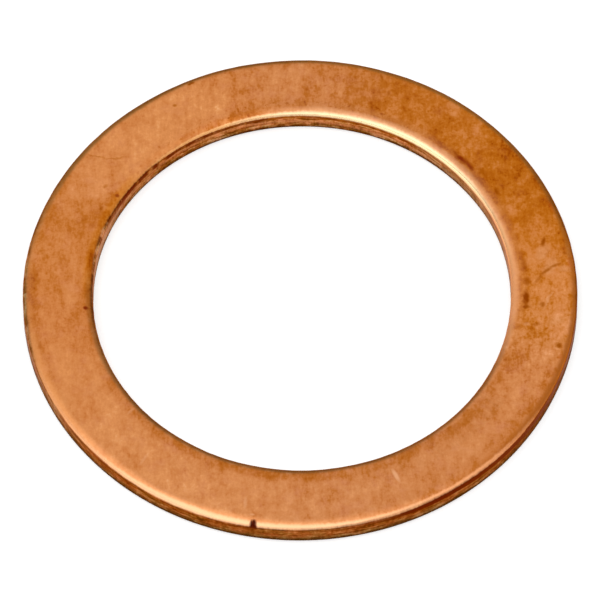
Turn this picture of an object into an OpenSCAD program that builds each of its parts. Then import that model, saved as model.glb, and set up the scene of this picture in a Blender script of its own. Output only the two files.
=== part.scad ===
// Flat copper sealing ring for a hollow pipe bolt, blanked from strip.
// It lies flat on z = 0, centred on its outer edge. Millimetres.
// The side the blanking tool entered is up, so the shoulders rolled over by
// the tool show on top, and the walls below them are straight.

/* [Ring] */
// Diameter over the outer wall
outer_d = 29; // [26:0.5:40]
// Diameter of the bore between its walls
inner_d = 22; // [16:0.5:24]
// Height from the lower face to the upper face
thickness = 1.5; // [1.2:0.1:2.5]

/* [Edges] */
// Radius of the rolled shoulder at the top of the outer wall
outer_shoulder_r = 0.33; // [0.1:0.01:0.4]
// Radius of the rolled shoulder at the top of the bore
bore_shoulder_r = 0.31; // [0.1:0.01:0.4]
// Radius of the tumbled edge at the foot of the outer wall
outer_foot_r = 0.25; // [0.1:0.01:0.4]
// Radius of the tumbled edge at the foot of the bore
bore_foot_r = 0.24; // [0.1:0.01:0.4]

/* [Punching] */
// How far the bore was punched off centre along X
bore_shift_x = 0.08; // [-0.15:0.01:0.15]
// How far the bore was punched off centre along Y
bore_shift_y = 0.05; // [-0.15:0.01:0.15]

/* [Nick] */
// Direction of the nick in the outer shoulder, counted from +X towards +Y
nick_angle = 260; // [0:5:355]
// Width of the nick where it breaks out of the outer wall
nick_width = 0.36; // [0.2:0.02:0.6]
// Width of its blunt end in the upper face
nick_top_width = 0.2; // [0.1:0.02:0.4]
// How far the nick bites into the shoulder, square to its slope
nick_bite = 0.15; // [0.1:0.01:0.25]

/* [Hidden] */
$fn = 180;
outer_r = outer_d / 2;
inner_r = inner_d / 2;
// the two turned bands overlap in the flat middle of the ring
middle_r = (outer_r + inner_r) / 2;
overlap = 0.3;

// Half of a band's section, x outward from the bore side: flat above and
// below, a straight wall at x = reach, and a round corner at each end of it.
module wall_section(start, reach, top_r, foot_r) {
    union() {
        // up to the deeper of the two corners, full height
        translate([start, 0])
            square([reach - max(top_r, foot_r) - start, thickness]);
        // between the corners, out to the wall
        translate([start, foot_r])
            square([reach - start, thickness - top_r - foot_r]);
        // under and over the corners
        translate([start, thickness / 2])
            square([reach - top_r - start, thickness / 2]);
        translate([start, 0])
            square([reach - foot_r - start, thickness / 2]);
        translate([reach - top_r, thickness - top_r])
            circle(r = top_r);
        translate([reach - foot_r, foot_r])
            circle(r = foot_r);
    }
}

// Outer half of the ring, turned about the centre of its outer edge
module outer_band() {
    rotate_extrude()
        wall_section(middle_r - overlap, outer_r, outer_shoulder_r, outer_foot_r);
}

// Inner half of the ring, turned about the centre of the punched bore.
// Its section is the same shape turned to face the axis.
module bore_band() {
    translate([bore_shift_x, bore_shift_y, 0])
        rotate_extrude()
            translate([middle_r + overlap, 0])
                mirror([1, 0])
                    wall_section(0, middle_r + overlap - inner_r,
                                 bore_shoulder_r, bore_foot_r);
}

// A small bite struck into the outer shoulder, square to its slope: blunt
// and narrow where it starts in the upper face, wider at the wall
module nick() {
    rotate([0, 0, nick_angle])
        translate([outer_r - outer_shoulder_r * 0.293, 0, thickness - outer_shoulder_r * 0.293])
            rotate([0, 45, 0])
                translate([0, 0, -nick_bite])
                    linear_extrude(height = 1)
                        polygon([[-0.24, -nick_top_width / 2], [0.3, -nick_width / 2],
                                 [0.3, nick_width / 2], [-0.24, nick_top_width / 2]]);
}

module sealing_ring() {
    color([0.80, 0.48, 0.26])
        difference() {
            union() {
                outer_band();
                bore_band();
            }
            nick();
        }
}

sealing_ring();
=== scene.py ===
import math

import bpy
import numpy as np
from mathutils import Matrix, Vector


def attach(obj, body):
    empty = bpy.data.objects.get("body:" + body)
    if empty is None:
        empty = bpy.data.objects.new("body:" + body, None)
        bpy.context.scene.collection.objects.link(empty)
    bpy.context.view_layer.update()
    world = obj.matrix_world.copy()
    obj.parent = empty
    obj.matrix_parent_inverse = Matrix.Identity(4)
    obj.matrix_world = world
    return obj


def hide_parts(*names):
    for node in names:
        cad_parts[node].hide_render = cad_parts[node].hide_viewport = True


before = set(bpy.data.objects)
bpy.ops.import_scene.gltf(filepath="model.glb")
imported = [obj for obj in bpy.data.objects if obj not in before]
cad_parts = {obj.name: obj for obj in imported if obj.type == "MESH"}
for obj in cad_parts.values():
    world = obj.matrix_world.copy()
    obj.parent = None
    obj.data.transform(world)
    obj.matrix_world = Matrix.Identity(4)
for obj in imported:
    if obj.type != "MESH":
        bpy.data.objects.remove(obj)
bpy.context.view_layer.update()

# ---------------------------------------------------------------------------
# Camera: long lens, 58 degrees above the floor, rolled half a degree
# ---------------------------------------------------------------------------
ELEV, ROLL = math.radians(57.94), math.radians(-0.633)
DIST = 0.580                 # camera to the ring's centre, metres
FOCAL_PX = 11079.0           # focal length in pixels of a 600 px wide picture
CENTRE_PX = (300.16, 304.45)   # where the ring's centre falls in the picture

eye = Vector((0.0, -math.cos(ELEV), math.sin(ELEV))) * DIST
fwd = -eye.normalized()
right = Vector((1.0, 0.0, 0.0))
up = right.cross(fwd)
r2 = math.cos(ROLL) * right + math.sin(ROLL) * up
u2 = -math.sin(ROLL) * right + math.cos(ROLL) * up
# aimed a few pixels off the centre, so that no lens shift is needed
f2 = (fwd - r2 * ((CENTRE_PX[0] - 300) / FOCAL_PX) + u2 * ((CENTRE_PX[1] - 300) / FOCAL_PX)).normalized()
r3 = (r2 - f2 * r2.dot(f2)).normalized()
u3 = r3.cross(f2)
cam_data = bpy.data.cameras.new("camera")
cam_data.sensor_fit = "HORIZONTAL"
cam_data.sensor_width = 36.0
cam_data.lens = FOCAL_PX / 600.0 * 36.0
cam_data.clip_start, cam_data.clip_end = 0.05, 20.0
cam = bpy.data.objects.new("camera", cam_data)
m = Matrix((r3, u3, -f2)).transposed().to_4x4()
m.translation = eye
cam.matrix_world = m
bpy.context.scene.collection.objects.link(cam)
bpy.context.scene.camera = cam

# ---------------------------------------------------------------------------
# The ring's measures, in millimetres, as in the CAD part
# ---------------------------------------------------------------------------
R_OUT, R_IN, T = 14.5, 11.0, 1.5
SH_OUT, SH_IN, FT_OUT, FT_IN = 0.33, 0.31, 0.25, 0.24
BORE = np.array([0.08, 0.05])
NICK_PHI, NICK_BITE, NICK_W, NICK_W0 = math.radians(260.0), 0.15, 0.37, 0.19
NICK_SKEW = (-0.075, -0.035)     # how far it leans to the left, at its top and at its foot

# ---------------------------------------------------------------------------
# Ring mesh: the CAD section swept round, with the wear that has real depth
# ---------------------------------------------------------------------------


def waves(seed, n, k_lo, k_hi):
    """A smooth periodic function of the angle, about -1 to 1."""
    rng = np.random.default_rng(seed)
    k = rng.integers(k_lo, k_hi + 1, n)
    ph = rng.uniform(0, 2 * np.pi, n)
    am = rng.uniform(0.5, 1.0, n)
    am /= np.sqrt((am ** 2).sum() / 2) * 1.6
    return lambda a: (am[:, None] * np.sin(k[:, None] * np.ravel(a)[None] + ph[:, None])).sum(0).reshape(np.shape(a))


def waves2(seed, n, k_hi, m_hi):
    """The same over angle and height, for the broken part of the walls."""
    rng = np.random.default_rng(seed)
    k = rng.integers(-k_hi, k_hi + 1, n)
    mz = rng.uniform(-m_hi, m_hi, n)
    ph = rng.uniform(0, 2 * np.pi, n)
    am = rng.uniform(0.4, 1.0, n)
    am /= np.sqrt((am ** 2).sum() / 2) * 1.6

    def f(a, z):
        out = np.zeros(np.broadcast(a, z).shape)
        for ki, mi, pi_, ai in zip(k, mz, ph, am):
            out += ai * np.sin(ki * a + mi * z + pi_)
        return out
    return f


def smooth(x, a, b):
    t = np.clip((x - a) / (b - a), 0, 1)
    return t * t * (3 - 2 * t)


# columns: even round the ring, closer together across the nick
base = np.linspace(0, 2 * np.pi, 1081)[:-1]
half = 0.38 / R_OUT
keep = np.abs(base - NICK_PHI) > half
fine = NICK_PHI + np.linspace(-half, half, 61)
PHI = np.sort(np.concatenate([base[keep], fine]))
NC = len(PHI)


def arc(a0, a1, n):
    return np.radians(np.linspace(a0, a1, n + 1))


# rows of the section, from the middle of the lower face outward and round.
# kind: "o" / "i" measured from the outer / bore wall, "c" the middle of the face.
# Shoulder rows keep their angle, because their width changes round the ring.
rows = []
for u in (1.75, 1.2, 0.62):
    rows.append(("o", "flat", u, 0.0))
for a in arc(-90, 0, 7):
    rows.append(("o", "foot", FT_OUT - FT_OUT * math.cos(a), FT_OUT + FT_OUT * math.sin(a)))
for z in np.linspace(FT_OUT, T - SH_OUT, 12)[1:-1]:
    rows.append(("o", "wall", 0.0, z))
for a in arc(0, 90, 12):
    rows.append(("o", "shoulder", a, 0.0))
for u in (0.585, 0.67, 0.82, 1.04, 1.34):
    rows.append(("o", "flat", u, T))
rows.append(("c", "flat", 0.5, T))
for u in (1.34, 1.04, 0.82, 0.67, 0.585):
    rows.append(("i", "flat", u, T))
for a in arc(90, 0, 12):
    rows.append(("i", "shoulder", a, 0.0))
for z in np.linspace(T - SH_IN, FT_IN, 12)[1:-1]:
    rows.append(("i", "wall", 0.0, z))
for a in arc(0, -90, 7):
    rows.append(("i", "foot", FT_IN - FT_IN * math.cos(a), FT_IN + FT_IN * math.sin(a)))
for u in (0.62, 0.98, 1.34):
    rows.append(("i", "flat", u, 0.0))
NR = len(rows)

n_sh = {"o": waves(3, 9, 2, 17), "i": waves(4, 9, 2, 17)}
n_fine = {"o": waves(5, 14, 30, 120), "i": waves(6, 14, 30, 120)}
n_brk = {"o": waves(7, 10, 4, 40), "i": waves(8, 10, 4, 40)}
n_rag = {"o": waves(9, 16, 60, 260), "i": waves(10, 16, 60, 260)}
n_torn = {"o": waves2(11, 26, 240, 22.0), "i": waves2(12, 26, 240, 22.0)}

# neither wall is quite round: hundredths of a millimetre, inward on the outer
# wall and outward on the bore where they are positive
deg = np.degrees(PHI) % 360
oval = {"o": np.interp(deg, [0, 12, 25, 40, 55, 105, 120, 140, 158, 170, 200, 222, 245, 300, 320, 335, 350, 360],
                       [0, 0.015, 0.035, 0.04, 0.004, 0.004, 0.040, 0.07, 0.048, 0.005, 0, 0.022, 0, 0, 0.022, 0.030, 0, 0]),
        "i": np.interp(deg, [0, 12, 25, 40, 60, 90, 110, 130, 150, 165, 180, 192, 210, 265, 300, 320, 345, 360],
                       [-0.070, -0.032, 0.012, -0.016, -0.032, -0.062, -0.040, -0.012, -0.022, -0.062, -0.12, -0.062, -0.030, -0.050, -0.018,
                        0.020, -0.030, -0.070])}
kernel = np.hanning(41) / np.hanning(41).sum()
oval = {k: np.convolve(np.concatenate([v[-20:], v, v[:20]]), kernel, "valid") for k, v in oval.items()}

co = np.zeros((NR, NC, 3))
cs, sn = np.cos(PHI), np.sin(PHI)
for j, (side, kind, a, b) in enumerate(rows):
    if side == "c":
        x = 0.5 * ((R_OUT - 1.75) * cs + BORE[0] + (R_IN + 1.7) * cs)
        y = 0.5 * ((R_OUT - 1.75) * sn + BORE[1] + (R_IN + 1.7) * sn)
        co[j] = np.stack([x, y, np.full(NC, T)], -1)
        continue
    ns, nf, nb, nr = (f[side](PHI) for f in (n_sh, n_fine, n_brk, n_rag))
    sh, ft = (SH_OUT, FT_OUT) if side == "o" else (SH_IN, FT_IN)
    wide = 0.47 + 0.045 * ns              # the shoulder rolls in further than it rolls down
    if kind == "shoulder":
        uu = wide * (1 - math.cos(a)) + 0.004 * (1 + nf) * math.cos(a)
        zz = T - sh * (1 - math.sin(a)) - 0.010 * (1 + ns) * np.cos(a) ** 0.5 * np.ones(NC)
    else:
        uu, zz = np.full(NC, float(a)), np.full(NC, float(b))
    if kind in ("wall", "foot"):
        uu = uu + 0.004 * (1 + nf) * smooth(zz, 0.2, 0.5)
        # sheared wall: smooth above, broken away a little below
        line = 0.68 + 0.10 * nb + 0.05 * nr
        torn = smooth(line - zz, 0.0, 0.07) * smooth(zz, 0.12, 0.34)
        uu = uu + torn * (0.013 + 0.009 * n_torn[side](PHI, zz))
        uu = np.maximum(uu, 0.0)
    if kind != "flat":
        uu = uu + oval[side]
    if side == "o":
        x, y = (R_OUT - uu) * cs, (R_OUT - uu) * sn
    else:
        x, y = BORE[0] + (R_IN + uu) * cs, BORE[1] + (R_IN + uu) * sn
    co[j, :, 0], co[j, :, 1], co[j, :, 2] = x, y, np.maximum(zz, 0.0)

# dings along the upper shoulders: small dished blows, most of them very light
rng = np.random.default_rng(21)
for k in range(44):
    outer = rng.random() < 0.55
    a = rng.uniform(0, 2 * np.pi)
    size, depth = rng.uniform(0.12, 0.34), rng.uniform(0.004, 0.018)
    c = (np.array([R_OUT * math.cos(a), R_OUT * math.sin(a), T]) if outer else
         np.array([BORE[0] + R_IN * math.cos(a), BORE[1] + R_IN * math.sin(a), T]))
    inward = np.array([-math.cos(a), -math.sin(a), 0]) * (1 if outer else -1)
    tang = np.array([-math.sin(a), math.cos(a), 0])
    d = co - (c + inward * 0.12 + np.array([0, 0, -0.11]))
    long = rng.uniform(0.8, 2.2)
    q = (d @ tang / long) ** 2 + (d @ inward) ** 2 + d[..., 2] ** 2
    w = np.exp(-q / (0.35 * size) ** 2 * 0.5)
    co += w[..., None] * depth * (inward * 0.7 + np.array([0, 0, -0.7]))

# the nick: a blunt bite with a flat, torn floor across the outer shoulder
c_n, s_n = math.cos(NICK_PHI), math.sin(NICK_PHI)
rad, tan_, zax = np.array([c_n, s_n, 0]), np.array([-s_n, c_n, 0]), np.array([0, 0, 1.0])
mid = rad * (R_OUT - SH_OUT * 0.293) + zax * (T - SH_OUT * 0.293)
n45, slope = (rad + zax) / math.sqrt(2), (rad - zax) / math.sqrt(2)
d = co - mid
along, across, high = d @ slope, d @ tan_, d @ n45
across = across - np.interp(along, [-0.24, 0.3], NICK_SKEW)
halfw = np.interp(along, [-0.24, 0.3], [NICK_W0 / 2, NICK_W / 2])
inside = (smooth(halfw - np.abs(across), -0.075, 0.095) * smooth(along + 0.35 * across, -0.265, -0.110)
          * (along < 0.45) * (high > -0.6) * (d @ rad > -1))
torn_floor = 0.02 * np.sin(across * 55) + 0.012 * np.sin(along * 70 + across * 31)
push = np.maximum(high + NICK_BITE + torn_floor, 0.0) * inside
co -= push[..., None] * n45

co[..., 2] = np.clip(co[..., 2], 0.0, T)
over = np.maximum(np.hypot(co[..., 0], co[..., 1]) / R_OUT, 1.0)
co[..., 0] /= over
co[..., 1] /= over

verts = (co.reshape(-1, 3) * 1e-3).astype(np.float32)
jj, ii = np.meshgrid(np.arange(NR), np.arange(NC), indexing="ij")
jn, inx = (jj + 1) % NR, (ii + 1) % NC
quads = np.stack([jj * NC + ii, jj * NC + inx, jn * NC + inx, jn * NC + ii], -1).reshape(-1, 4)

mesh = bpy.data.meshes.new("copper_ring")
mesh.vertices.add(len(verts))
mesh.vertices.foreach_set("co", verts.ravel())
mesh.loops.add(quads.size)
mesh.loops.foreach_set("vertex_index", quads.ravel().astype(np.int32))
mesh.polygons.add(len(quads))
mesh.polygons.foreach_set("loop_start", np.arange(0, quads.size, 4, dtype=np.int32))
mesh.update(calc_edges=True)
mesh.validate()

# map: the ring unrolled in three strips, cut at the middle of the lower face
step = np.linalg.norm(np.diff(co[:, 0], axis=0, append=co[:1, 0]), axis=1)
length = np.concatenate([[0], np.cumsum(step)])
v_row = length / length[-1]
u_col = np.concatenate([PHI, [2 * np.pi]]) - PHI[0]
third = 2 * np.pi / 3
seg = np.minimum((u_col[:-1] / third + 1e-9).astype(int), 2)
GAP = 0.008
uv = np.zeros((NR, NC, 4, 2))
for corner, (dj, di) in enumerate(((0, 0), (0, 1), (1, 1), (1, 0))):
    a = u_col[np.arange(NC) + di]
    u = (a - seg * third) / third
    uv[:, :, corner, 0] = (GAP + (1 - 2 * GAP) * np.clip(u, 0, 1.002))[None, :]
    v = v_row[np.arange(NR) + dj]
    uv[:, :, corner, 1] = (seg[None, :] + GAP * 1.5 + (1 - 3 * GAP) * v[:, None]) / 3
layer = mesh.uv_layers.new(name="OFBake")
layer.data.foreach_set("uv", uv.reshape(-1).astype(np.float32))

for p in mesh.polygons:
    p.use_smooth = True
mesh.set_sharp_from_angle(angle=math.radians(42))
ring = bpy.data.objects.new("copper_ring", mesh)
bpy.context.scene.collection.objects.link(ring)
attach(ring, "root")
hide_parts("sealing_ring")

# ---------------------------------------------------------------------------
# Copper material
# ---------------------------------------------------------------------------


class Tree:
    """Short names for the nodes used below. Any input may be a number, a colour or an output."""

    def __init__(self, nt):
        self.nt = nt

    def node(self, kind, **props):
        n = self.nt.nodes.new(kind)
        for k, v in props.items():
            setattr(n, k, v)
        return n

    def put(self, socket, value):
        if isinstance(value, bpy.types.NodeSocket):
            self.nt.links.new(value, socket)
        elif value is not None:
            if hasattr(socket.default_value, "__len__") and not hasattr(value, "__len__"):
                value = [value] * len(socket.default_value)
            if hasattr(value, "__len__") and len(socket.default_value) == 4 and len(value) == 3:
                value = (*value, 1.0)
            socket.default_value = value

    def math(self, op, a, b=None, c=None, clamp=False):
        n = self.node("ShaderNodeMath", operation=op, use_clamp=clamp)
        for s, v in zip(n.inputs, (a, b, c)):
            self.put(s, v)
        return n.outputs[0]

    def add(self, *v):
        out = v[0]
        for x in v[1:]:
            out = self.math("ADD", out, x)
        return out

    def sub(self, a, b):
        return self.math("SUBTRACT", a, b)

    def mul(self, *v):
        out = v[0]
        for x in v[1:]:
            out = self.math("MULTIPLY", out, x)
        return out

    def top(self, *v):
        out = v[0]
        for x in v[1:]:
            out = self.math("MAXIMUM", out, x)
        return out

    def around(self, noise, amount):
        """A noise made to swing about zero by the given amount."""
        return self.mul(self.sub(noise, 0.5), amount)

    def vec(self, op, a, b=None, scale=None):
        n = self.node("ShaderNodeVectorMath", operation=op)
        self.put(n.inputs[0], a)
        if b is not None:
            self.put(n.inputs[1], b)
        if scale is not None:
            self.put(n.inputs["Scale"], scale)
        return n.outputs["Value"] if op in ("LENGTH", "DOT_PRODUCT", "DISTANCE") else n.outputs["Vector"]

    def xyz(self, v):
        n = self.node("ShaderNodeSeparateXYZ")
        self.put(n.inputs[0], v)
        return n.outputs[0], n.outputs[1], n.outputs[2]

    def join(self, x, y, z):
        n = self.node("ShaderNodeCombineXYZ")
        for s, v in zip(n.inputs, (x, y, z)):
            self.put(s, v)
        return n.outputs[0]

    def ramp(self, v, a, b, lo=0.0, hi=1.0, smooth=True):
        n = self.node("ShaderNodeMapRange", interpolation_type="SMOOTHSTEP" if smooth else "LINEAR", clamp=True)
        for s, x in zip(n.inputs, (v, a, b, lo, hi)):
            self.put(s, x)
        return n.outputs[0]

    def noise(self, v, scale, detail=2.0, rough=0.5, dist=0.0, shift=None):
        if shift is not None:
            v = self.vec("ADD", v, shift)
        n = self.node("ShaderNodeTexNoise", noise_dimensions="3D")
        self.put(n.inputs["Vector"], v)
        self.put(n.inputs["Scale"], scale)
        self.put(n.inputs["Detail"], detail)
        self.put(n.inputs["Roughness"], rough)
        self.put(n.inputs["Distortion"], dist)
        return n.outputs["Fac"]

    def mix(self, f, a, b, blend="MIX"):
        n = self.node("ShaderNodeMix", data_type="RGBA", blend_type=blend, clamp_factor=True)
        self.put(n.inputs[0], f)
        self.put(n.inputs[6], a)
        self.put(n.inputs[7], b)
        return n.outputs[2]

    def tint(self, f, a, b):
        return self.mix(f, a, b, "MULTIPLY")

    def lerp(self, f, a, b):
        n = self.node("ShaderNodeMix", data_type="FLOAT", clamp_factor=True)
        self.put(n.inputs[0], f)
        self.put(n.inputs[2], a)
        self.put(n.inputs[3], b)
        return n.outputs[0]

    def colours(self, f, stops):
        n = self.node("ShaderNodeValToRGB")
        self.put(n.inputs[0], f)
        e = n.color_ramp.elements
        while len(e) < len(stops):
            e.new(0.5)
        for el, (p, c) in zip(e, stops):
            el.position = p
            el.color = (*c, 1.0)
        return n.outputs[0]


mat = bpy.data.materials.new("worn_copper")
mat.use_nodes = True
nt = mat.node_tree
nt.nodes.clear()
t = Tree(nt)
out = t.node("ShaderNodeOutputMaterial")
bsdf = t.node("ShaderNodeBsdfPrincipled")
nt.links.new(bsdf.outputs[0], out.inputs[0])
bsdf.inputs["Metallic"].default_value = 1.0
bsdf.inputs["Specular Tint"].default_value = (0.90, 0.52, 0.42, 1.0)

P = t.vec("SCALE", t.node("ShaderNodeTexCoord").outputs["Object"], scale=1000.0)   # millimetres
X, Y, Z = t.xyz(P)
flat = t.join(X, Y, 0.0)
R = t.vec("LENGTH", flat)
RB = t.vec("LENGTH", t.join(t.sub(X, float(BORE[0])), t.sub(Y, float(BORE[1])), 0.0))
u_out = t.sub(R_OUT, R)          # inward from the outer wall
u_in = t.sub(RB, R_IN)           # outward from the bore wall
u_edge = t.math("MINIMUM", u_out, u_in)
deep = t.sub(T, Z)               # down from the upper face
is_outer = t.ramp(t.sub(u_in, u_out), -0.2, 0.2)
upper = t.ramp(Z, 0.9, 1.15)
ang = t.math("ARCTAN2", Y, X)
turn_pos = t.math("FRACT", t.math("MULTIPLY_ADD", ang, 1 / (2 * math.pi), 1.0))   # 0 to 1 from +X towards +Y


def by_turn(stops, scale=1.0):
    """A value that eases from stop to stop round the ring: (degrees, value up to 1)."""
    n = t.node("ShaderNodeValToRGB")
    n.color_ramp.interpolation = "EASE"
    t.put(n.inputs[0], turn_pos)
    stops = [(0, stops[-1][1])] + stops if stops[0][0] > 0 else stops
    stops = stops + [(360, stops[0][1])] if stops[-1][0] < 360 else stops
    e = n.color_ramp.elements
    while len(e) < len(stops):
        e.new(0.5)
    for el, (p, v) in zip(e, stops):
        el.position = p / 360.0
        el.color = (v, v, v, 1.0)
    return n.outputs[0] if scale == 1.0 else t.mul(n.outputs[0], scale)


def both(inner, outer):
    return t.lerp(is_outer, inner, outer)


def blob(x, y, rx, ry, turn=0.0, soft=0.5, src=None):
    """An oval mark on the faces: 1 inside, fading out at its edge."""
    n = t.node("ShaderNodeMapping", vector_type="TEXTURE")
    t.put(n.inputs["Vector"], src if src is not None else flat)
    n.inputs["Location"].default_value = (x, y, 0)
    n.inputs["Rotation"].default_value = (0, 0, math.radians(turn))
    n.inputs["Scale"].default_value = (rx, ry, 1)
    return t.ramp(t.vec("LENGTH", n.outputs[0]), 1.0 + soft, 1.0 - soft)


def polar(r, phi):
    return r * math.cos(math.radians(phi)), r * math.sin(math.radians(phi))


# coordinates for the streaks left by rolling the strip, which run along Y
streak = t.node("ShaderNodeMapping", vector_type="POINT")
t.put(streak.inputs["Vector"], P)
streak.inputs["Rotation"].default_value = (0, 0, math.radians(-5))
streak.inputs["Scale"].default_value = (1.0, 0.34, 1.0)
S = streak.outputs[0]

n_cloud = t.noise(P, 0.55, 4.2, 0.86)
n_mid = t.noise(P, 1.15, 4.0, 0.6, shift=(7.1, 3.3, 1.0))
n_blot = t.noise(P, 2.6, 3.0, 0.6, shift=(1.7, 9.3, 4.0))
n_streak = t.noise(S, 1.6, 2.8, 0.86)
n_fibre = t.noise(S, 8.0, 1.5, 0.55, shift=(3.0, 5.0, 2.0))
n_grain = t.noise(P, 6.0, 1.6, 0.6)
n_pink = t.noise(P, 1.1, 4.0, 0.65, shift=(31.0, 12.0, 5.0))
n_patch = t.noise(P, 1.9, 3.0, 0.66, 0.4, shift=(13.0, 2.0, 8.0))
n_dots = t.noise(P, 4.2, 1.5, 0.5, shift=(2.0, 17.0, 3.0))
n_wob = t.node("ShaderNodeTexNoise", noise_dimensions="3D")
t.put(n_wob.inputs["Vector"], P)
n_wob.inputs["Scale"].default_value = 3.0
n_wob.inputs["Detail"].default_value = 3.0
wob = t.vec("SUBTRACT", n_wob.outputs["Color"], (0.5, 0.5, 0.5))
flat_w = t.vec("ADD", flat, t.vec("SCALE", wob, scale=0.35))
patch = t.ramp(n_patch, 0.42, 0.62)
dots = t.ramp(n_dots, 0.60, 0.74)

# how far the face has darkened: broad zones round the ring
T_zone = by_turn([(0, 0.56), (12, 0.59), (22, 0.74), (37, 0.86), (52, 0.76), (66, 0.78), (82, 0.63), (100, 0.49), (114, 0.41),
                  (127, 0.28), (142, 0.38), (157, 0.61), (187, 0.54), (203, 0.44), (217, 0.36), (240, 0.37), (260, 0.41),
                  (276, 0.49), (292, 0.54), (308, 0.55), (320, 0.52), (338, 0.49)])
T_field = t.lerp(upper, 0.55, T_zone)
swing = t.add(t.around(n_cloud, 1.50), t.around(n_streak, 1.15), t.around(n_mid, 0.22), t.around(n_blot, 0.42),
              t.around(n_fibre, 0.30), t.around(n_grain, 0.45))
T_field = t.add(T_field, t.mul(swing, by_turn([(0, 0.70), (16, 0.46), (30, 0.52), (50, 0.55), (70, 0.50), (90, 0.55), (110, 0.68), (125, 0.60),
                                               (145, 0.54), (165, 0.52), (205, 0.49), (222, 0.56), (245, 0.60), (265, 0.53), (290, 0.53),
                                               (312, 0.47), (330, 0.58), (345, 0.84)], 1.45)))
# blotches and small spots of tarnish, mostly in the dark zones
rusty = by_turn([(0, 1.0), (75, 1.0), (95, 0.55), (115, 0.35), (140, 0.5), (165, 0.45), (185, 0.3), (320, 0.3), (340, 0.8)])
T_field = t.add(T_field, t.mul(t.sub(patch, 0.45), rusty, 0.15), t.mul(dots, rusty, 0.15))

# a darker margin beside the bore, and a fainter one beside the outer edge
margin_line = t.add(u_in, t.around(n_mid, 0.55), t.around(n_blot, 0.35), by_turn([(0, 0.0), (292, 0.0), (312, 1.0), (332, 1.0), (346, 0.0)], -0.20))
margin = t.mul(t.ramp(margin_line, 0.95, 0.60), t.ramp(margin_line, 0.16, 0.32), upper)
T_field = t.add(T_field, t.mul(margin, by_turn([(0, 0.22), (14, 0.16), (26, 0.14), (40, 0.16), (58, 0.03), (78, 0.03), (95, 0.12), (128, 0.02), (140, 0.04), (154, 0.16),
                                                (175, 0.14), (190, 0.10), (205, 0.24), (225, 0.26), (245, 0.34), (270, 0.32), (284, 0.18),
                                                (300, 0.18), (316, 0.26), (335, 0.15), (347, 0.22)])))
T_field = t.add(T_field, t.mul(t.ramp(t.add(u_out, t.around(n_mid, 0.8)), 1.1, 0.4), upper,
                               by_turn([(0, 0.06), (8, 0.18), (25, 0.12), (60, 0.06), (80, 0.02), (100, 0.13), (125, 0.10), (158, 0.12), (170, 0.22),
                                        (182, 0.42), (196, 0.25), (210, 0.0), (235, 0.0), (285, 0.0), (300, 0.06), (316, 0.14), (337, 0.24),
                                        (350, 0.0)])))
T_field = t.sub(T_field, t.mul(t.ramp(t.add(u_out, t.around(n_mid, 0.6)), 1.3, 0.7), upper,
                               by_turn([(0, 0.04), (10, 0.0), (338, 0.0), (347, 0.13), (355, 0.13)])))
# painted shade: the far shoulder of the bore is made a little darker than the light it catches
T_field = t.add(T_field, t.mul(t.ramp(t.add(u_in, t.around(n_blot, 0.2)), 0.52, 0.30), upper, t.sub(1.0, is_outer),
                               by_turn([(0, 0.0), (84, 0.0), (96, 0.12), (106, 0.24), (120, 0.24), (130, 0.06), (136, 0.0)])))
# on the left the tarnish runs right up to the bore
close_in = t.mul(t.ramp(t.add(u_in, t.around(n_blot, 0.25)), 0.52, 0.10), upper, t.sub(1.0, is_outer))
T_field = t.add(T_field, t.mul(close_in, by_turn([(0, 0.0), (140, 0.0), (152, 0.14), (172, 0.50), (184, 0.36), (200, 0.08), (212, 0.0)])))
# specks in that margin on the far side
speck = t.mul(t.ramp(t.noise(P, 4.2, 2.0, 0.5, shift=(4.0, 4.0, 0.0)), 0.60, 0.70),
              t.ramp(u_in, 0.95, 0.6), by_turn([(0, 0.0), (45, 0.0), (60, 1.0), (138, 1.0), (150, 0.0)]), upper)
T_field = t.add(T_field, t.mul(speck, 0.30))

face = t.colours(t.math("MULTIPLY_ADD", T_field, 0.8, 0.1), [
    (0.00, (0.84, 0.410, 0.195)), (0.12, (0.765, 0.335, 0.142)), (0.26, (0.700, 0.274, 0.100)),
    (0.40, (0.640, 0.240, 0.074)), (0.54, (0.592, 0.205, 0.048)), (0.62, (0.555, 0.182, 0.034)),
    (0.71, (0.500, 0.149, 0.0165)), (0.80, (0.466, 0.130, 0.0095)), (0.90, (0.415, 0.102, 0.005)), (1.00, (0.330, 0.066, 0.002))])
pink = t.mul(t.ramp(n_pink, 0.48, 0.70), t.ramp(T_field, 0.95, 0.45, 0.08, 0.20), upper)
face = t.mix(pink, face, (0.68, 0.270, 0.125))
# rosier at the front, more golden at the right
face = t.tint(t.mul(upper, by_turn([(0, 0.0), (64, 0.0), (78, 0.45), (96, 0.45), (108, 0.1), (195, 0.1), (225, 0.35), (255, 0.5), (272, 0.72),
                                    (302, 0.68), (320, 0.55), (342, 0.4), (352, 0.2)])), face, (0.970, 1.045, 1.30))
face = t.tint(t.mul(upper, by_turn([(0, 0.8), (16, 0.8), (30, 0.0), (338, 0.0), (354, 0.7)])), face, (1.01, 0.985, 0.85))

# the darker patches are browner at the front and left than at the right
browner = t.mul(by_turn([(0, 0.0), (62, 0.0), (84, 1.0), (140, 1.0), (154, 0.5), (174, 0.5), (188, 1.0), (335, 1.0), (350, 0.0)]), upper)
face = t.tint(t.mul(browner, t.ramp(T_field, 0.44, 0.90, smooth=False)), face, (1.0, 1.0, 1.55))
face = t.tint(t.mul(browner, t.ramp(T_field, 0.44, 0.18)), face, (1.0, 1.0, 0.86))
face = t.tint(t.mul(upper, by_turn([(0, 0.75), (14, 0.70), (32, 0.70), (42, 0.6), (58, 0.0), (338, 0.0), (352, 0.75)]), t.ramp(T_field, 0.52, 0.88)), face,
              (1.0, 0.985, 0.58))
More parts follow.
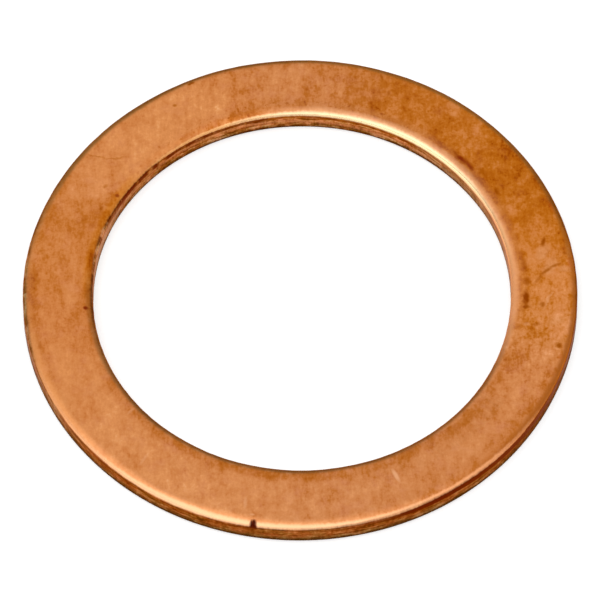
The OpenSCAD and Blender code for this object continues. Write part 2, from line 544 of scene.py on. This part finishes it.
# yellower against the bore at the far left
face = t.tint(t.mul(t.ramp(t.add(u_in, t.around(n_blot, 0.2)), 0.60, 0.25), upper, t.sub(1.0, is_outer),
                    by_turn([(0, 0.0), (136, 0.0), (148, 1.0), (172, 1.0), (186, 0.0)])), face, (1.01, 0.97, 0.52))

# single marks on the upper face: a few nearly black-red, the rest brown
dark = 0.0
for x_, y_, rx, ry, turn, s_, soft_ in [   # x, y, half sizes, turn, strength, softness
    (8.56, 8.00, 0.30, 0.105, 133, 0.88, 0.7), (8.98, 7.56, 0.26, 0.085, 128, 0.70, 0.7), (-11.20, -1.00, 0.12, 0.11, 0, 0.95, 0.5), (-9.54, 5.94, 0.11, 0.10, 0, 0.75, 0.55),
]:
    dark = t.top(dark, t.mul(blob(x_, y_, rx, ry, turn, soft_, flat_w if rx > 0.12 else None), s_))
dark = t.mul(dark, upper)
stain = 0.0
for x_, y_, rx, ry, turn, s_, soft_ in [
    (8.60, 7.96, 0.62, 0.17, 133, 0.90, 0.8), (8.24, 8.36, 0.26, 0.12, 130, 0.75, 0.8), (9.06, 7.48, 0.22, 0.12, 124, 0.80, 0.8), (10.40, 5.92, 0.11, 0.26, 20, 0.65, 0.7),
    (12.77, 2.78, 0.10, 0.24, -12, 0.80, 0.7), (13.45, -3.63, 0.15, 0.16, 0, 0.85, 0.7), (-5.65, 12.93, 0.17, 0.09, 24, 0.85, 0.6),
    (-6.50, 11.54, 0.10, 0.08, 0, 0.55, 0.7), (-10.16, 6.51, 0.15, 0.08, 30, 0.40, 0.7), (13.86, 2.07, 0.14, 0.12, 0, 0.60, 0.8),
    (4.80, 12.18, 0.09, 0.14, 0, 0.45, 0.7), (4.43, 13.24, 0.07, 0.16, 20, 0.50, 0.7), (-13.6, -3.3, 0.09, 0.2, 10, 0.30, 0.7),
    (-10.65, 8.40, 0.45, 0.050, -12, 0.36, 0.8), (-9.6, 8.28, 0.55, 0.045, 3, 0.32, 0.8), (-10.35, 5.15, 0.16, 0.10, 60, 0.50, 0.8),
    (11.80, -0.70, 0.155, 0.42, 0, 1.0, 0.6), (11.82, -1.18, 0.14, 0.16, 0, 0.85, 0.7), (11.88, 0.32, 0.15, 0.24, 0, 0.60, 0.8),
    (12.62, -1.10, 0.13, 0.14, 0, 0.65, 0.8), (12.30, -2.30, 0.22, 0.10, 10, 0.45, 0.8),
    (12.50, 0.52, 0.080, 0.36, -38, 0.40, 0.8), (12.90, 0.98, 0.085, 0.36, -52, 0.66, 0.8), (13.35, 1.30, 0.08, 0.28, -66, 0.62, 0.8),
    (11.75, 1.30, 0.14, 0.40, 5, 0.45, 0.8), (9.65, 7.2, 0.16, 0.5, 38, 0.40, 0.8), (13.25, -5.1, 0.10, 0.10, 0, 0.35, 0.8),
]:
    stain = t.top(stain, t.mul(blob(x_, y_, rx, ry, turn, soft_, flat_w if rx > 0.12 else None), s_))
stain = t.mul(stain, upper, t.ramp(n_blot, 0.25, 0.50, 0.84, 1.0))
# paler marks: scratches and rubbed patches, and in the last entry a painted glint on the raised lip at the top of the
# nick
pale_marks_and_glint = 0.0
for r_, phi, rx, ry, turn, s_ in [
    (12.42, 293.0, 0.36, 0.105, 3, 1.0), (11.5, 219.7, 0.22, 0.07, 8, 0.4), (13.15, 231.5, 0.34, 0.08, 6, 0.35),
    (13.3, 257.2, 0.30, 0.09, 8, 0.45), (13.15, 5.5, 0.50, 0.26, 60, 0.30), (12.9, 9.5, 0.5, 0.30, 60, 0.30),
    (13.5, 351.0, 0.35, 0.26, 40, 0.30), (13.9, 4.5, 0.25, 0.2, 0, 0.3), (13.0, 356.6, 0.07, 0.42, -20, 0.40),
    (12.0, 349.0, 0.16, 0.10, 20, 0.35), (13.93, 259.3, 0.05, 0.12, 0, 0.6),
]:
    x_, y_ = polar(r_, phi)
    pale_marks_and_glint = t.top(pale_marks_and_glint, t.mul(blob(x_, y_, rx, ry, phi + turn, 0.6, flat_w if ry > 0.18 else None), s_))
pale_marks_and_glint = t.mul(pale_marks_and_glint, upper)
face = t.mix(t.mul(pale_marks_and_glint, 0.75), face, (0.80, 0.41, 0.21))
face = t.tint(stain, face, (1.0, 0.90, 0.10))
face = t.mix(stain, face, (0.272, 0.048, 0.0))
face = t.mix(dark, face, (0.225, 0.018, 0.0))
# red stain in the right-hand outer margin
red = t.top(t.mul(blob(14.19, 1.50, 0.16, 0.35, 0, 0.7, flat_w), 0.45), t.mul(blob(13.29, 4.93, 0.14, 0.30, 20, 0.7), 0.35),
            t.mul(blob(13.60, -4.35, 0.14, 0.20, 20, 0.7, flat_w), 0.35))
face = t.mix(t.mul(red, upper), face, (0.55, 0.10, 0.012))

# shoulders. Every band runs from a distance in from the wall down to a depth
rub_noise = t.add(t.around(n_mid, 0.07), t.around(n_fibre, 0.06), t.around(n_grain, 0.05))
u_rub = t.add(u_edge, rub_noise)
turned = t.mul(ang, 12.7)                       # millimetres round the ring
w_rag = t.noise(t.join(turned, 0.0, t.mul(is_outer, 7.0)), 4.5, 4.0, 0.7)
w_rag2 = t.noise(t.join(turned, 3.0, t.mul(is_outer, 7.0)), 3.2, 4.0, 0.75)
# depth at which the wall's colour starts
limit = both(by_turn([(0, 0.26), (12, 0.37), (25, 0.565), (38, 0.545), (47, 0.52), (62, 0.445), (77, 0.365), (92, 0.31), (107, 0.285), (124, 0.238), (137, 0.19),
                      (150, 0.14), (165, 0.09), (185, 0.10), (325, 0.10), (342, 0.24)]),
             by_turn([(0, 0.14), (20, 0.09), (185, 0.09), (206, 0.26), (219, 0.325), (248, 0.365), (271, 0.295), (288, 0.265),
                      (304, 0.215), (322, 0.25), (337, 0.27), (352, 0.20)]))
limit = t.add(limit, t.around(w_rag, 0.13))
edge_soft = both(by_turn([(0, 0.13), (18, 0.15), (30, 0.17), (45, 0.20), (64, 0.18), (84, 0.15), (100, 0.11), (120, 0.07), (150, 0.05)]),
                 by_turn([(0, 0.05), (200, 0.06), (222, 0.13), (245, 0.16), (292, 0.15), (306, 0.10), (322, 0.05)]))
steep = t.ramp(t.add(t.sub(deep, limit), edge_soft), 0.0, t.add(edge_soft, 0.050))
# the lower face, from the end of the foot inward, is tarnished like the upper one
not_under = t.sub(1.0, t.mul(t.ramp(t.add(u_edge, t.around(n_mid, 0.05)), 0.11, 0.26), t.ramp(Z, 0.10, 0.03)))
steep = t.mul(steep, not_under)
# soft, paler blush where the shoulder starts: partly paler rubbed copper, partly painted sheen
rub_and_painted_sheen = both(by_turn([(0, 0.95), (15, 0.95), (80, 0.86), (92, 0.60), (102, 0.10), (112, 0.0), (315, 0.0), (335, 0.30), (347, 0.90)]),
             by_turn([(0, 0.0), (148, 0.0), (164, 0.38), (184, 0.55), (194, 0.78), (206, 0.85), (222, 0.62), (240, 0.70), (262, 0.66), (276, 0.45), (290, 0.15), (304, 0.0)]))
u_blush = t.add(u_edge, rub_noise, t.around(n_blot, both(0.10, 0.22)), t.around(n_grain, both(0.0, 0.22)))
blush_wide = both(by_turn([(0, 0.64), (30, 0.62), (55, 0.56), (75, 0.52), (340, 0.60)]),
                  by_turn([(0, 0.60), (160, 0.72), (204, 0.80), (220, 0.58)]))
blush_full = both(by_turn([(0, 0.08), (20, 0.08), (40, 0.18), (60, 0.20), (340, 0.08)]),
                  by_turn([(0, 0.24), (160, 0.10), (204, 0.10), (222, 0.22)]))
blush_at = t.ramp(u_blush, blush_wide, blush_full)
# the painted sheen's faint tail, inward of the bore's shoulder at the right
tail = t.mul(t.ramp(t.add(u_edge, t.around(n_mid, 0.30)), 0.90, 0.45), 0.20, t.sub(1.0, is_outer))
sheen_col_in = t.mix(by_turn([(0, 0.05), (14, 0.15), (27, 0.55), (40, 0.9), (85, 0.9), (110, 0.9), (130, 0.4), (340, 0.0)]),
                 (0.765, 0.345, 0.148), (0.560, 0.268, 0.126))
# rosier and paler in patches
sheen_col_in = t.mix(t.mul(t.ramp(n_patch, 0.50, 0.66), 0.5, t.ramp(u_edge, 0.45, 0.20)), sheen_col_in, (0.720, 0.325, 0.180))
copper = t.mix(t.mul(t.top(blush_at, tail), rub_and_painted_sheen, upper, t.sub(1.0, t.mul(t.top(dark, stain), 0.85))), face, t.mix(is_outer, sheen_col_in,
                   t.mix(by_turn([(0, 1.0), (206, 1.0), (226, 0.0), (300, 0.0), (320, 1.0)]), (0.672, 0.286, 0.118), (0.665, 0.280, 0.096))))
# rubbed bright core: paler rubbed copper with a painted highlight over it
core = both(by_turn([(0, 0.0), (5, 0.10), (18, 0.72), (30, 0.94), (40, 1.0), (84, 1.0), (98, 1.0), (112, 1.0), (124, 0.98),
                     (136, 0.74), (152, 0.52), (160, 0.0)]),
            by_turn([(0, 0.0), (194, 0.0), (206, 0.40), (218, 0.70), (230, 0.92), (242, 1.0), (274, 1.0), (288, 1.0), (304, 1.0),
                     (314, 0.80), (324, 0.50), (331, 0.18), (336, 0.0)]))
core_from = both(by_turn([(0, 0.18), (18, 0.175), (29, 0.108), (47, 0.100), (62, 0.112), (77, 0.080), (92, 0.066), (107, 0.056), (122, 0.060), (136, 0.052), (150, 0.050)]),
                 by_turn([(0, 0.10), (200, 0.16), (218, 0.100), (232, 0.150), (248, 0.205), (271, 0.180), (288, 0.152), (300, 0.160), (312, 0.185), (322, 0.150),
                          (334, 0.10)]))
core_soft = both(by_turn([(0, 0.12), (85, 0.13), (98, 0.09), (112, 0.055), (160, 0.055)]), by_turn([(0, 0.09), (282, 0.10), (304, 0.08), (330, 0.08)]))
core_at = t.ramp(t.sub(u_rub, core_from), core_soft, t.mul(core_soft, -0.55))
rub_and_painted_highlight = t.mul(core_at, core, upper)
# the painted highlight is palest low on the shoulder, and more orange where it is weak
low = t.ramp(deep, both(0.035, 0.06), both(0.19, 0.24))
highlight_col_in = t.mix(t.mul(low, by_turn([(0, 0.1), (20, 0.25), (28, 0.60), (36, 0.90), (48, 1.0), (66, 0.95), (80, 0.60), (95, 0.42), (112, 0.35), (350, 0.1)])),
                 (0.79, 0.520, 0.310), (1.0, 0.84, 0.485))
highlight_col_in = t.mix(by_turn([(0, 0.9), (20, 0.7), (30, 0.2), (38, 0.0), (92, 0.0), (104, 0.45), (114, 0.85), (124, 1.0)]), highlight_col_in,
                 t.mix(by_turn([(0, 0.0), (126, 0.0), (140, 1.0), (160, 1.0), (200, 0.0)]), t.mix(by_turn([(0, 0.0), (80, 0.0), (100, 1.0), (200, 0.0)]), (0.87, 0.43, 0.175), (1.0, 0.485, 0.172)), (0.96, 0.395, 0.095)))
highlight_col_out = t.mix(low, (0.81, 0.450, 0.236), (0.93, 0.545, 0.300))
highlight_col_out = t.mix(by_turn([(0, 0.9), (206, 0.8), (226, 0.2), (240, 0.0), (274, 0.0), (290, 0.45), (302, 0.90), (322, 1.0)]), highlight_col_out, (1.0, 0.44, 0.195))
copper = t.mix(t.mul(rub_and_painted_highlight, 0.97), copper, t.mix(is_outer, highlight_col_in, highlight_col_out))
# painted shade: a dark rim on the shoulders that face away from the camera, in place of the dark reflection they would
# catch
painted_rim_shade = both(by_turn([(0, 0.0), (170, 0.0), (182, 0.35), (198, 0.75), (215, 0.95), (288, 0.95), (306, 0.62), (335, 0.55), (346, 0.25), (352, 0.0)]),
           by_turn([(0, 0.08), (18, 0.50), (32, 0.9), (60, 1.0), (146, 1.0), (160, 0.50), (172, 0.10), (192, 0.06), (200, 0.0), (350, 0.0)]))
rim_shade_wide = by_turn([(0, 0.46), (112, 0.46), (126, 0.54), (156, 0.54), (168, 0.46)])
rim_shade_at = t.ramp(t.add(u_rub, t.around(w_rag2, 0.10)), both(0.40, rim_shade_wide), both(0.16, t.sub(rim_shade_wide, 0.24)))
copper = t.mix(t.mul(rim_shade_at, painted_rim_shade, 0.88, upper), copper, t.mix(is_outer, (0.220, 0.086, 0.021), (0.232, 0.100, 0.023)))
# brown band down the right-hand outer shoulder
band = t.mul(by_turn([(0, 0.95), (12, 0.60), (30, 0.10), (45, 0.0), (300, 0.0), (313, 0.70), (325, 1.0), (352, 1.0)]), is_outer)
band_at = t.ramp(t.add(u_edge, t.mul(rub_noise, 1.6), t.around(n_blot, 0.12)), by_turn([(0, 0.38), (12, 0.42), (320, 0.50), (338, 0.46), (350, 0.37)]), 0.15)
copper = t.mix(t.mul(band_at, band, t.sub(1.0, rub_and_painted_highlight), upper, 0.92), copper, (0.395, 0.110, 0.014))

# walls: smooth band above, torn copper below, painted shade darkening the foot
w_streak = t.noise(t.join(turned, t.mul(Z, 0.35), t.mul(is_outer, 9.0)), 6.0, 3.0, 0.6)
w_blot = t.noise(t.join(turned, t.mul(Z, 1.3), t.mul(is_outer, 5.0)), 2.1, 4.0, 0.7)
w_run = t.noise(t.join(t.mul(turned, 0.42), t.mul(Z, 2.6), t.mul(is_outer, 5.0)), 2.6, 4.0, 0.72, shift=(5.0, 1.0, 2.0))
w_line = t.noise(t.join(t.mul(turned, 0.20), t.mul(Z, 2.0), t.mul(is_outer, 3.0)), 2.6, 2.0, 0.6, shift=(9.0, 4.0, 1.0))
w_hue = t.noise(t.join(t.mul(turned, 0.6), t.mul(Z, 1.1), t.mul(is_outer, 11.0)), 2.2, 2.0, 0.6, shift=(1.0, 8.0, 6.0))
calm = both(by_turn([(0, 0.0), (192, 0.0), (212, 1.0), (322, 1.0), (340, 0.3)]),
            by_turn([(0, 0.2), (14, 0.4), (30, 1.0), (150, 1.0), (170, 0.0), (340, 0.0)]))
wall_swing = t.add(t.around(w_streak, 1.1), t.around(w_blot, 1.8), t.around(w_run, both(3.2, 2.2)), t.around(w_line, both(2.3, 1.5)))
wall_tone = t.add(t.mul(wall_swing, t.lerp(calm, 1.0, 0.42)), 0.5)
wall_out = t.colours(wall_tone, [(0.0, (0.100, 0.022, 0.0020)), (0.28, (0.185, 0.047, 0.0070)), (0.5, (0.255, 0.072, 0.0140)),
                                 (0.72, (0.325, 0.105, 0.026)), (1.0, (0.450, 0.180, 0.065))])
wall_in = t.colours(wall_tone, [(0.0, (0.135, 0.026, 0.0015)), (0.28, (0.245, 0.066, 0.0075)), (0.5, (0.345, 0.104, 0.0175)),
                                (0.72, (0.450, 0.160, 0.045)), (1.0, (0.620, 0.270, 0.125))])
wall_col = t.mix(is_outer, wall_in, wall_out)
wall_col = t.tint(0.85, wall_col, t.mix(t.ramp(w_hue, 0.38, 0.62), (1.04, 0.93, 0.84), (0.95, 1.16, 1.04)))
# greyer towards the foot and at the far left, browner and darker at the right
wall_col = t.tint(t.mul(t.ramp(t.add(Z, t.around(w_blot, 0.4)), 0.75, 0.25), both(0.6, by_turn([(0, 0.10), (20, 0.25), (50, 0.9), (296, 0.9), (322, 0.10)]))), wall_col, (0.92, 1.18, 1.45))
wall_col = t.tint(t.mul(is_outer, by_turn([(0, 0.0), (172, 0.5), (186, 1.0), (206, 1.0), (224, 0.0)])), wall_col, (0.92, 1.22, 1.70))
wall_col = t.tint(t.mul(is_outer, by_turn([(0, 1.0), (20, 0.6), (60, 0.0), (310, 0.0), (326, 0.7), (338, 1.0)])), wall_col, (0.46, 0.43, 0.12))
# a paler streak along the bore wall, where the shear turned into a tear
pale_line = by_turn([(0, 1.15), (32, 1.15), (47, 1.06), (62, 0.92), (85, 0.86), (105, 0.66), (135, 0.62), (150, 0.75)])
pale_half = by_turn([(0, 0.30), (60, 0.22), (120, 0.20), (145, 0.40), (160, 0.75), (180, 0.80), (200, 0.3)])
pale = t.mul(t.ramp(t.math("ABSOLUTE", t.sub(t.add(deep, t.around(w_rag, 0.24), t.around(w_run, 0.50)), pale_line)), pale_half, 0.03),
             t.sub(1.0, is_outer), by_turn([(0, 0.5), (30, 0.8), (95, 0.8), (120, 0.6), (140, 0.45), (152, 0.55), (164, 0.95), (180, 1.0), (188, 0.0), (350, 0.3)]))
pale_col = t.mix(by_turn([(0, 1.0), (40, 0.8), (60, 0.0), (135, 0.1), (152, 1.0), (180, 1.0)]), (0.540, 0.205, 0.080), (0.500, 0.335, 0.190))
wall_col = t.mix(t.mul(pale, t.ramp(w_streak, 0.34, 0.60, 0.35, 0.95)), wall_col, pale_col)
# olive brown just under the bright shoulder of the bore
wall_col = t.mix(t.mul(t.ramp(t.add(t.sub(deep, limit), t.around(w_rag2, 0.16)), 0.24, 0.08), t.sub(1.0, is_outer), by_turn(
    [(0, 0.0), (35, 0.25), (48, 0.80), (100, 0.80), (112, 0.4), (124, 0.0)])), wall_col, (0.270, 0.064, 0.0012))
# the dark line where the shoulder turns into the wall, stronger in places: partly dirt in the crease, partly painted
# dark reflection
seam_depth = t.sub(deep, limit)
w_dash = t.noise(t.join(t.mul(turned, 0.55), 1.0, t.mul(is_outer, 7.0)), 2.4, 3.0, 0.65, shift=(6.0, 2.0, 9.0))
seam_where = both(by_turn([(0, 0.0), (35, 0.15), (60, 0.40), (90, 0.50), (100, 0.70), (124, 0.90), (131, 1.0), (146, 1.0), (156, 0.7), (168, 0.6),
                           (178, 0.8), (186, 1.0), (197, 0.3), (210, 0.0)]),
                  by_turn([(0, 0.35), (15, 0.0), (205, 0.0), (225, 0.22), (240, 0.12), (264, 0.08), (282, 0.48), (294, 1.0), (328, 1.0), (342, 0.80)]))
seam_wide = both(by_turn([(0, 0.14), (85, 0.14), (120, 0.24), (131, 0.34), (146, 0.34), (165, 0.16)]),
                 by_turn([(0, 0.12), (262, 0.14), (284, 0.24), (298, 0.38), (328, 0.40), (345, 0.24)]))
crease_dirt_and_shade = t.mul(t.ramp(seam_depth, -0.045, 0.015), t.ramp(t.sub(seam_depth, seam_wide), 0.10, -0.05), seam_where,
             t.ramp(t.add(w_dash, t.mul(seam_where, both(0.17, 0.30))), 0.47, 0.66))
wall_col = t.mix(t.mul(crease_dirt_and_shade, 0.95), wall_col, (0.096, 0.0070, 0.0002))
# the steep part of the shoulders that face away, with their painted shade, and of the right-hand band
rim_shade_col = t.mix(painted_rim_shade, wall_col, (0.140, 0.062, 0.018))
steep_col = t.mix(t.ramp(t.add(deep, t.around(w_rag2, 0.10)), 0.35, 0.20), wall_col, rim_shade_col)
steep_col = t.mix(t.mul(band, t.ramp(deep, 0.62, 0.36), 0.80), steep_col,
                  t.mix(by_turn([(0, 1.0), (20, 1.0), (40, 0.0), (324, 0.0), (342, 1.0)]), (0.130, 0.021, 0.0010), (0.185, 0.052, 0.0050)))
# painted reflection: grey-brown beside the bore at the right, where the wall is seen edge on
olive = t.mul(t.sub(1.0, is_outer), by_turn([(0, 0.85), (30, 0.85), (48, 0.45), (62, 0.0), (345, 0.0), (355, 0.85)]))
steep_col = t.mix(t.mul(olive, t.ramp(t.add(w_rag, t.around(w_run, 0.8)), 0.35, 0.60, 0.55, 0.95)), steep_col,
                  t.mix(t.ramp(t.add(wall_swing, t.around(w_rag2, 0.8)), -0.5, 0.5), (0.270, 0.150, 0.066), (0.420, 0.242, 0.118)))
# painted reflection too: a grey-brown line down the bore's edge at the right
edge_line = t.mul(t.sub(1.0, is_outer), by_turn([(0, 0.9), (10, 0.8), (20, 0.2), (28, 0.0), (335, 0.0), (345, 0.9)]))
edge_line = t.mul(edge_line, t.ramp(t.add(deep, t.around(w_rag2, 0.5), t.around(w_run, 0.5)), 0.80, 0.42, 0.15, 1.0))
steep_col = t.mix(edge_line, steep_col, t.mix(t.ramp(t.add(wall_swing, t.around(w_rag2, 0.8)), -0.6, 0.6), (0.250, 0.130, 0.058), (0.350, 0.190, 0.086)))
copper = t.mix(steep, copper, steep_col)
# painted shade: the foot of each wall is darkened where it meets the floor
foot_noise = t.add(t.around(w_rag, 0.26), t.around(w_blot, 0.30))
foot = t.mul(t.top(t.mul(t.ramp(t.add(Z, foot_noise), both(0.56, 0.62), 0.22), 0.45), t.ramp(t.add(Z, foot_noise), both(by_turn([(0, 0.44), (62, 0.44), (72, 0.36), (84, 0.36), (96, 0.41)]), 0.47), both(by_turn([(0, 0.25), (62, 0.25), (72, 0.18), (84, 0.18), (96, 0.22)]), 0.25))),
             t.ramp(u_edge, 0.60, 0.25))
foot = t.mul(foot, not_under)
copper = t.mix(t.mul(foot, both(by_turn([(0, 0.5), (35, 0.7), (55, 0.95), (100, 0.95), (130, 0.85), (150, 0.8)]), 0.95)), copper,
               t.mix(is_outer, (0.066, 0.020, 0.0032), (0.062, 0.026, 0.0055)))

# painted shade: the nick is coloured nearly black in its hollow, and it dragged a faint line down the wall
nick_x = t.vec("DOT_PRODUCT", P, (-s_n, c_n, 0.0))
nr_ = t.sub(t.vec("DOT_PRODUCT", P, (c_n, s_n, 0.0)), R_OUT)
n_along = t.mul(t.sub(t.add(nr_, T), t.add(Z, 0.0)), 0.7071)     # down the slope, 0 at the shoulder's middle
nick_half = t.ramp(n_along, -0.24, 0.3, 0.095, 0.185, smooth=False)
nx = t.sub(nick_x, t.ramp(n_along, -0.24, 0.3, NICK_SKEW[0], NICK_SKEW[1], smooth=False))
painted_nick_shade = t.mul(t.ramp(t.sub(t.add(t.math("ABSOLUTE", nx), t.around(n_grain, 0.05)), nick_half), 0.115, -0.080),
             t.ramp(t.add(n_along, t.mul(nx, 0.40)), -0.265, -0.050), t.ramp(nr_, -0.46, -0.34), t.ramp(deep, 0.52, 0.30))
drag = t.mul(t.ramp(t.math("ABSOLUTE", t.add(nx, t.around(w_blot, 0.10))), 0.11, 0.02), t.ramp(deep, 0.25, 0.35), t.ramp(nr_, -0.2, -0.1), 0.35)
copper = t.mix(drag, copper, (0.11, 0.018, 0.002))
copper = t.mix(t.mul(painted_nick_shade, 0.98), copper, (0.104, 0.0070, 0.0))
t.put(bsdf.inputs["Base Color"], copper)

# roughness
rough = t.add(0.40, t.around(n_mid, 0.16), t.around(n_grain, 0.16), t.mul(T_field, 0.06))
rough = t.lerp(rub_and_painted_highlight, rough, t.add(both(0.27, 0.31), t.around(n_blot, 0.08)))
torn = t.ramp(t.add(Z, t.around(w_blot, 0.5)), 0.80, 0.62)
rough = t.lerp(steep, rough, t.add(t.lerp(torn, 0.38, 0.52), t.around(n_grain, 0.14)))
rough = t.lerp(t.top(dark, painted_nick_shade, t.mul(stain, 0.5)), rough, 0.62)
t.put(bsdf.inputs["Roughness"], rough)

# relief too fine for the mesh: rolling streaks, grain, scratches, pits, torn walls
h = t.add(t.mul(n_streak, 1.2), t.mul(n_fibre, 0.60), t.mul(n_grain, 0.60), t.mul(n_cloud, 1.2))
h = t.sub(h, t.mul(dark, 2.2))
h = t.sub(h, t.mul(dots, rusty, 0.8))
h = t.sub(h, t.mul(pale_marks_and_glint, 0.6))
h_wall = t.add(t.mul(w_streak, 1.6), t.mul(w_run, 1.5), t.mul(n_grain, t.lerp(torn, 0.6, 3.0)))
h = t.lerp(steep, h, h_wall)
bump = t.node("ShaderNodeBump")
bump.inputs["Strength"].default_value = 1.0
bump.inputs["Distance"].default_value = 3.0e-6
t.put(bump.inputs["Height"], h)
nt.links.new(bump.outputs[0], bsdf.inputs["Normal"])

mesh.materials.append(mat)

# ---------------------------------------------------------------------------
# Floor and light
# ---------------------------------------------------------------------------
bpy.ops.mesh.primitive_circle_add(vertices=96, radius=3.0, fill_type="NGON", location=(0, 0, 0))
floor = bpy.context.object
floor.name = "floor"
fm = bpy.data.materials.new("pale_floor")
fm.use_nodes = True
fb = fm.node_tree.nodes["Principled BSDF"]
fb.inputs["Base Color"].default_value = (0.64, 0.64, 0.64, 1)
fb.inputs["Roughness"].default_value = 0.9
fb.inputs["Specular IOR Level"].default_value = 0.1
fb.inputs["Emission Color"].default_value = (1.0, 1.0, 1.0, 1)
fb.inputs["Emission Strength"].default_value = 0.50      # keeps the contact shadow faint
floor.data.materials.append(fm)

world = bpy.data.worlds.new("studio")
bpy.context.scene.world = world
world.use_nodes = True
w = Tree(world.node_tree)
bg = world.node_tree.nodes["Background"]
D = w.vec("NORMALIZE", w.node("ShaderNodeTexCoord").outputs["Generated"])
_, _, Dz = w.xyz(D)


def way(az, el):
    a, e = math.radians(az), math.radians(el)
    return (math.cos(e) * math.cos(a), math.cos(e) * math.sin(a), math.sin(e))


def cap(az, el, inner, outer):
    return w.ramp(w.vec("DOT_PRODUCT", D, way(az, el)), math.cos(math.radians(outer)), math.cos(math.radians(inner)))


sky = w.ramp(Dz, 0.0, 0.60, 0.72, 1.0)
sky = w.add(sky, w.mul(cap(235, 50, 36, 56), 0.65))
w.put(bg.inputs["Strength"], sky)
bg.inputs["Color"].default_value = (1.0, 1.0, 1.0, 1)

bpy.context.scene.view_settings.view_transform = "Standard"
